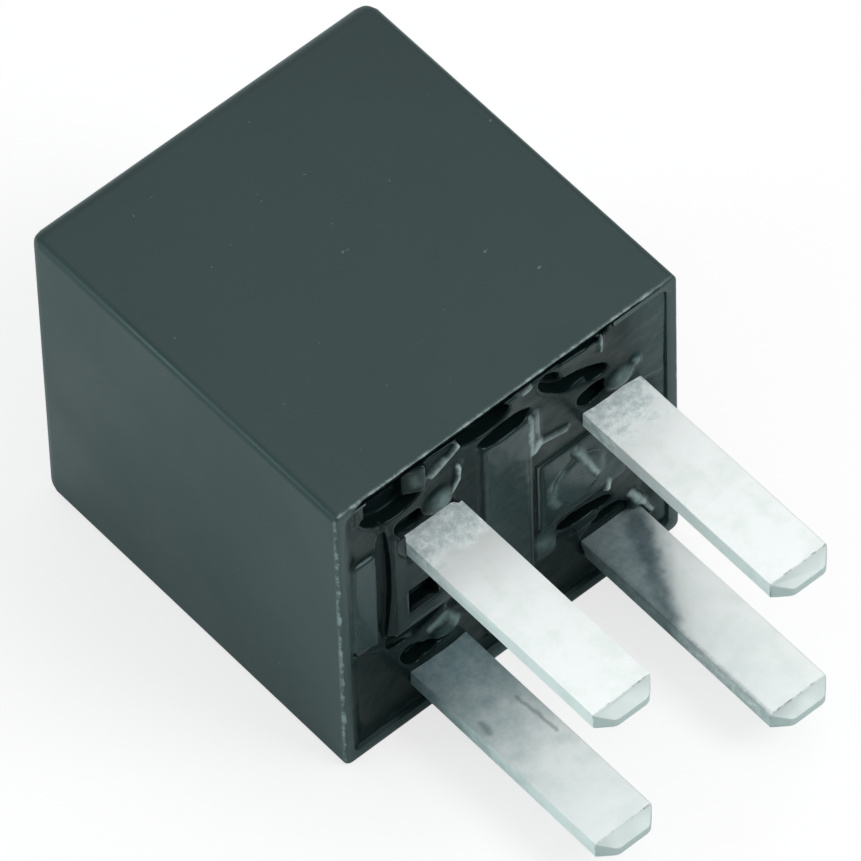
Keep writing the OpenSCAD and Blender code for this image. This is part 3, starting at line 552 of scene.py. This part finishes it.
def resin_surface():
    """Resin as it set: forms in relief, drawn together and smoothed so that it hangs on them."""
    low, high = (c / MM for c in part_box("sealing_resin"))
    # It reaches past the CAD's solid by the difference between the two walls, and a little more
    reach = 0.3
    x0, x1, z0, z1 = low.x - reach, high.x + reach, low.z - reach, high.z + reach
    floor_y = -8.5
    front_y = -9.3
    back_y = high.y
    deep_y = -7.8
    voxel = 0.075
    made = []

    def form(piece):
        """Keep a piece until they are gathered."""
        made.append(piece)
        return piece

    def gather(name):
        """Make one skin round all that was kept."""
        piece = join(made[0], made[1:])
        piece.name = name
        made.clear()
        modify(piece, "REMESH", mode="VOXEL", voxel_size=voxel * MM, adaptivity=0.0)
        return piece

    def field(fx0, fx1, fz0, fz1, top, soft=0.2):
        """A raised field with sloping sides."""
        piece = form(block("form", fx0 - soft, fx1 + soft, top, back_y, fz0 - soft, fz1 + soft))
        pick(piece, "polygons", lambda c, n: n.y < -0.9)
        bpy.ops.transform.resize(value=((fx1 - fx0) / (fx1 - fx0 + 2 * soft), 1,
                                        (fz1 - fz0) / (fz1 - fz0 + 2 * soft)),
                                 center_override=mm((fx0 + fx1) / 2, top, (fz0 + fz1) / 2))

    def facet(fx0, fx1, fz0, fz1, y00, y10, y11, y01):
        """A tilted field: the height of each corner, round from the lower left."""
        piece = form(block("form", fx0, fx1, floor_y, back_y, fz0, fz1))
        for x, z, y in ((fx0, fz0, y00), (fx1, fz0, y10), (fx1, fz1, y11), (fx0, fz1, y01)):
            pick(piece, "vertices", lambda c, n: abs(c.x - x) < 0.01 and abs(c.z - z) < 0.01
                 and c.y < back_y - 0.01)
            bpy.ops.transform.translate(value=mm(0, y - floor_y, 0))

    def ridge(fx0, fz0, fx1, fz1, width, top):
        """A rounded ridge from one point of the face to another."""
        run = Vector((fx1 - fx0, 0, fz1 - fz0))
        deselect()
        bpy.ops.mesh.primitive_cylinder_add(
            vertices=16, radius=width / 2 * MM, depth=run.length * MM,
            location=mm((fx0 + fx1) / 2, top + width / 2, (fz0 + fz1) / 2),
            rotation=run.to_track_quat("Z", "Y").to_euler())
        form(settle(named("form")))

    def lump(fx, fy, fz, rx, ry, rz):
        """A rounded lump."""
        deselect()
        bpy.ops.mesh.primitive_uv_sphere_add(segments=32, ring_count=16, radius=MM,
                                             location=mm(fx, fy, fz), scale=(rx, ry, rz))
        return form(settle(named("form")))

    def pit(fx, fz, rx, rz, turn=0.0, bottom=deep_y):
        """A cutter for a steep-sided hollow, turned in the face's plane by degrees."""
        deselect()
        bpy.ops.mesh.primitive_cylinder_add(
            vertices=40, radius=MM, depth=(bottom - front_y) * MM, rotation=(math.pi / 2, 0, 0))
        piece = settle(named("form"))
        piece.scale = (rx, 1, rz)
        piece.rotation_euler.y = math.radians(turn)
        piece.location = mm(fx, (bottom + front_y) / 2, fz)
        return settle(piece)

    form(block("form", x0, x1, floor_y, back_y, z0, z1))
    # Ribs and fields of the base under a thin film, and its round boss
    field(-1.0, 1.24, 1.4, 13.3, -8.67)
    field(-7.5, -6.45, 6.1, 11.8, -8.72, 0.3)
    field(-5.5, -4.85, 5.55, 11.9, -8.62)
    field(-5.5, -2.5, 5.75, 9.65, -8.62)
    field(1.8, 6.0, 5.6, 9.65, -8.65)
    field(1.5, 2.4, 3.9, 5.6, -8.7)
    deselect()
    bpy.ops.mesh.primitive_cone_add(vertices=48, radius1=1.55 * MM, radius2=1.2 * MM,
                                    depth=1.0 * MM, location=mm(3.6, -8.26, 7.4),
                                    rotation=(math.pi / 2, 0, 0))
    form(settle(named("form")))
    # Resin drawn up the side walls of the cover
    facet(x0, -7.3, z0, z1, -8.84, -8.5, -8.5, -8.78)
    facet(5.2, x1, 10.6, z1, -8.5, -8.76, -8.8, -8.5)
    facet(6.9, x1, z0, 10.6, -8.5, -8.72, -8.76, -8.5)
    facet(x0, x1, z0, 1.0, -8.7, -8.7, -8.5, -8.5)
    piece = gather("resin_surface")
    # Where it has sunk: pits beside the blades, the notch, and the gutter under the top wall
    cutters = [
        pit(-5.35, 14.15, 1.6, 1.15, 8), pit(-6.2, 14.7, 0.95, 0.6, -20),
        pit(-4.5, 11.95, 0.85, 0.62, 25), pit(-0.9, 14.75, 1.35, 0.62, 4),
        pit(0.15, 13.62, 1.28, 0.38), pit(2.5, 14.3, 0.45, 0.8, -35),
        pit(3.9, 13.3, 1.5, 0.5, 22), pit(4.6, 11.8, 0.85, 0.55, 12),
        pit(-4.6, 3.45, 0.5, 0.78, -35), pit(-4.1, 3.3, 0.7, 0.42, 20),
        pit(-3.0, 3.35, 0.5, 0.2, -35),
        pit(4.0, 4.55, 1.4, 0.42, 10), pit(5.2, 3.35, 0.85, 0.5, 8),
        pit(-6.0, 5.5, 1.9, 0.26, 30, -8.35), pit(-2.0, 5.0, 0.9, 0.4, 0, -8.35),
        pit(-5.93, 9.4, 0.34, 3.8, 0, -8.24), pit(-4.5, 5.15, 1.4, 0.45, -6, -8.2),
        pit(-3.7, 11.0, 1.5, 1.2, 0, -8.28), pit(5.2, 2.6, 1.5, 1.0, 0, -8.28),
        block("form", -4.8, -3.3, -9.2, deep_y, 6.35, 7.85),
        block("form", -6.9, 5.3, -9.2, -7.9, 15.1, 16.0)]
    for cutter in cutters:
        modify(piece, "BOOLEAN", operation="DIFFERENCE", object=cutter, solver="EXACT")
        bpy.data.objects.remove(cutter)
    form(piece)
    # Slopes and tears of resin inside the hollows
    facet(-6.3, -3.9, 12.5, 13.0, -8.48, -8.48, -8.34, -8.34)
    facet(-4.75, -3.85, 13.6, 15.2, -8.3, -8.72, -8.76, -8.3)
    facet(-7.2, -6.7, 14.2, 15.3, -8.58, -8.5, -8.5, -8.6)
    facet(2.9, 5.0, 13.85, 15.1, -8.3, -8.46, -8.66, -8.58)
    facet(2.7, 4.3, 12.2, 13.0, -8.48, -8.46, -8.36, -8.4)
    facet(3.4, 4.6, 3.75, 4.25, -8.6, -8.6, -8.5, -8.5)
    for start, end, width, top, shade in STRINGS:
        ridge(*start, *end, width, top)
    # It wets the blades' roots, and stands in lumps beside some
    for bx, bz in ((5.4, 10.6), (-3.4, 2.05)):
        lump(bx, -8.4, bz, 1.75, 0.2, 0.85)
    lump(-3.15, -8.4, 12.25, 0.85, 0.4, 0.8)
    lump(5.85, -8.4, 11.75, 0.8, 0.4, 0.66)
    lump(6.55, -8.55, 12.25, 0.28, 0.24, 0.36)
    lump(-3.0, -8.4, 3.8, 0.8, 0.36, 0.5)
    lump(6.5, -8.5, 3.1, 0.4, 0.26, 0.5)
    piece = gather("resin_surface")
    modify(piece, "SMOOTH", factor=0.5, iterations=6)
    clouds = bpy.data.textures.new("uneven_resin", "CLOUDS")
    clouds.noise_scale = 1.4 * MM
    modify(piece, "DISPLACE", texture=clouds, direction="Y", strength=0.07 * MM, mid_level=0.5)
    pick(piece, "polygons", lambda c, n: n.y > 0.9 and c.y > back_y - 0.1)
    bpy.ops.mesh.dissolve_faces()
    bpy.ops.object.mode_set(mode="OBJECT")
    smooth(piece, 180)
    return piece


def terminal(node):
    """A stamped terminal: the CAD blade with its sheared edges broken."""
    corner = 0.14
    burr = 0.07
    piece = copy_of(node, node + "_stamping")
    tip = min(v.co.y for v in piece.data.vertices) / MM
    pick(piece, "edges", lambda a, b: max(a.y, b.y) < tip + 1.5 and abs(a.z - b.z) > 0.3
         and abs(a.x - b.x) < 0.1)
    bpy.ops.mesh.bevel(offset=corner * MM, segments=2, profile=0.5, affect="EDGES")
    bpy.ops.object.mode_set(mode="OBJECT")
    modify(piece, "BEVEL", width=burr * MM, segments=2, limit_method="ANGLE",
           angle_limit=math.radians(30), use_clamp_overlap=True)
    smooth(piece, 40)
    return piece


# Build ------------------------------------------------------------------------------------

tin = tin_plate()
finish_piece(cover_shell(), FIXED, cover_plastic(), "cover_plastic", "cover")
finish_piece(resin_surface(), FIXED, potting_resin(), "potting_resin", "sealing_resin")
for node_name in ("terminal_30", "terminal_87", "terminal_85", "terminal_86"):
    finish_piece(terminal(node_name), FIXED, tin, "tin_plate", node_name)

leaf = copy_of("contact_spring", "bent_leaf")
smooth(leaf, 30)
# Rolled phosphor bronze: warm, bright and finely grained
leaf_bronze = plain_metal("rolled_phosphor_bronze", "#c98f52", "#b67c42", 0.28, 0.1)
leaf.data.materials.append(leaf_bronze)

# Black nylons, matt; soft iron, annealed grey; nickel, bright; silver, soft white; blue lacquer
base_black = plain_plastic("moulded_black_nylon", "#1d2626", "#232d2d", 0.45)
bobbin_black = plain_plastic("moulded_bobbin_nylon", "#20292b", "#283234", 0.4)
iron = plain_metal("annealed_magnet_iron", "#8f9597", "#7b8285", 0.38, 0.12)
steel = plain_metal("nickel_plated_steel", "#c3c7c6", "#b3b8b8", 0.25, 0.15)
silver = plain_metal("silver_alloy", "#dfddd6", "#d2cfc6", 0.3, 0.2)
copper = enamelled_copper()
lacquer = plain_plastic("baked_blue_lacquer", "#3f7fa6", "#37739a", 0.25)
CAD_FINISH = {
    "base": base_black, "bobbin": bobbin_black, "coil_winding": copper,
    "coil_start_lead": copper, "coil_finish_lead": copper, "core": iron, "yoke": iron,
    "armature": iron, "spring_rivets": steel, "armature_rivets": steel,
    "moving_contact": silver, "fixed_contact": silver, "back_stop": steel,
    "resistor_body": lacquer, "resistor_leads": steel}
for node_name, finish in CAD_FINISH.items():
    cad = NODES[node_name]
    cad.data.materials.clear()
    cad.data.materials.append(finish)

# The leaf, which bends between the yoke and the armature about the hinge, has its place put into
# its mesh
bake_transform(leaf)
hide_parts("contact_spring")

# Floor, light and camera ------------------------------------------------------------------

def pale_floor():
    """Plain pale paper that keeps the shadow."""
    deselect()
    bpy.ops.mesh.primitive_plane_add(size=3, location=(0, 0, 0))
    floor = named("floor")
    made = bpy.data.materials.new("pale_paper")
    made.use_nodes = True
    tree = made.node_tree
    tree.nodes.clear()
    ray = add(tree, "LightPath").node.outputs
    colour = add(tree, "Mix", ray["Is Camera Ray"], "#dfeeed", "#f4f4f4", **COLOUR)
    paper = add(tree, "BsdfDiffuse", colour)
    glow = add(tree, "Emission", (1, 1, 1, 1), 1.0)
    # A little glow lifts the paper where it is seen, most of all by the camera
    mirrored = add(tree, "Math", ray["Is Glossy Ray"], ray["Is Transmission Ray"],
                   operation="MAXIMUM")
    seen = add(tree, "Math", ray["Is Camera Ray"], 12.0, mirrored, operation="MULTIPLY_ADD")
    amount = add(tree, "Math", seen, 0.06, operation="MULTIPLY")
    add(tree, "OutputMaterial", add(tree, "MixShader", amount, paper, glow))
    floor.data.materials.append(made)


def softbox(name, place, target, size, power, colour=(1, 1, 1)):
    """A round area lamp turned towards a point."""
    lamp = bpy.data.lights.new(name, "AREA")
    lamp.shape = "DISK"
    lamp.size = size
    lamp.energy = power
    lamp.color = colour
    made = bpy.data.objects.new(name, lamp)
    bpy.context.scene.collection.objects.link(made)
    made.location = place
    made.rotation_euler = (Vector(target) - Vector(place)).to_track_quat("-Z", "Y").to_euler()


def studio():
    """Even white surroundings and three soft lamps."""
    world = bpy.data.worlds.new("studio")
    bpy.context.scene.world = world
    world.use_nodes = True
    world.node_tree.nodes["Background"].inputs["Color"].default_value = (1, 1, 1, 1)
    world.node_tree.nodes["Background"].inputs["Strength"].default_value = 0.52
    centre = (0, 0, 0.008)
    softbox("overhead_softbox", (0.10, 0.12, 0.50), centre, 0.66, 0.76)
    softbox("front_softbox", (0.20, -0.32, 0.40), centre, 0.28, 1.6)
    softbox("rear_left_softbox", (-0.45, 0.25, 0.21), centre, 0.24, 0.7, (0.75, 1, 1))


def camera():
    """Long lens, half a metre away, looking down on the left side, the top and the blades."""
    azimuth, elevation, roll = math.radians(-39.48), math.radians(54.31), math.radians(-1.96)
    back = Vector((math.sin(azimuth) * math.cos(elevation),
                   -math.cos(azimuth) * math.cos(elevation), math.sin(elevation)))
    right = Vector((math.cos(azimuth), math.sin(azimuth), 0))
    up = back.cross(right)
    right2 = right * math.cos(roll) + up * math.sin(roll)
    up2 = up * math.cos(roll) - right * math.sin(roll)
    place = mm(0, -6.9, 8.0) + back * 0.5 + right2 * (-1.692 * MM) + up2 * (2.314 * MM)
    lens = bpy.data.cameras.new("camera")
    lens.sensor_width = 36
    lens.lens = 13286 / 861 * 36
    lens.clip_start = 0.01
    lens.clip_end = 10
    made = bpy.data.objects.new("camera", lens)
    bpy.context.scene.collection.objects.link(made)
    turn = Matrix((right2, up2, back)).transposed()
    made.matrix_world = Matrix.Translation(place) @ turn.to_4x4()
    bpy.context.scene.camera = made


pale_floor()
studio()
camera()
bpy.context.scene.view_settings.view_transform = "Standard"
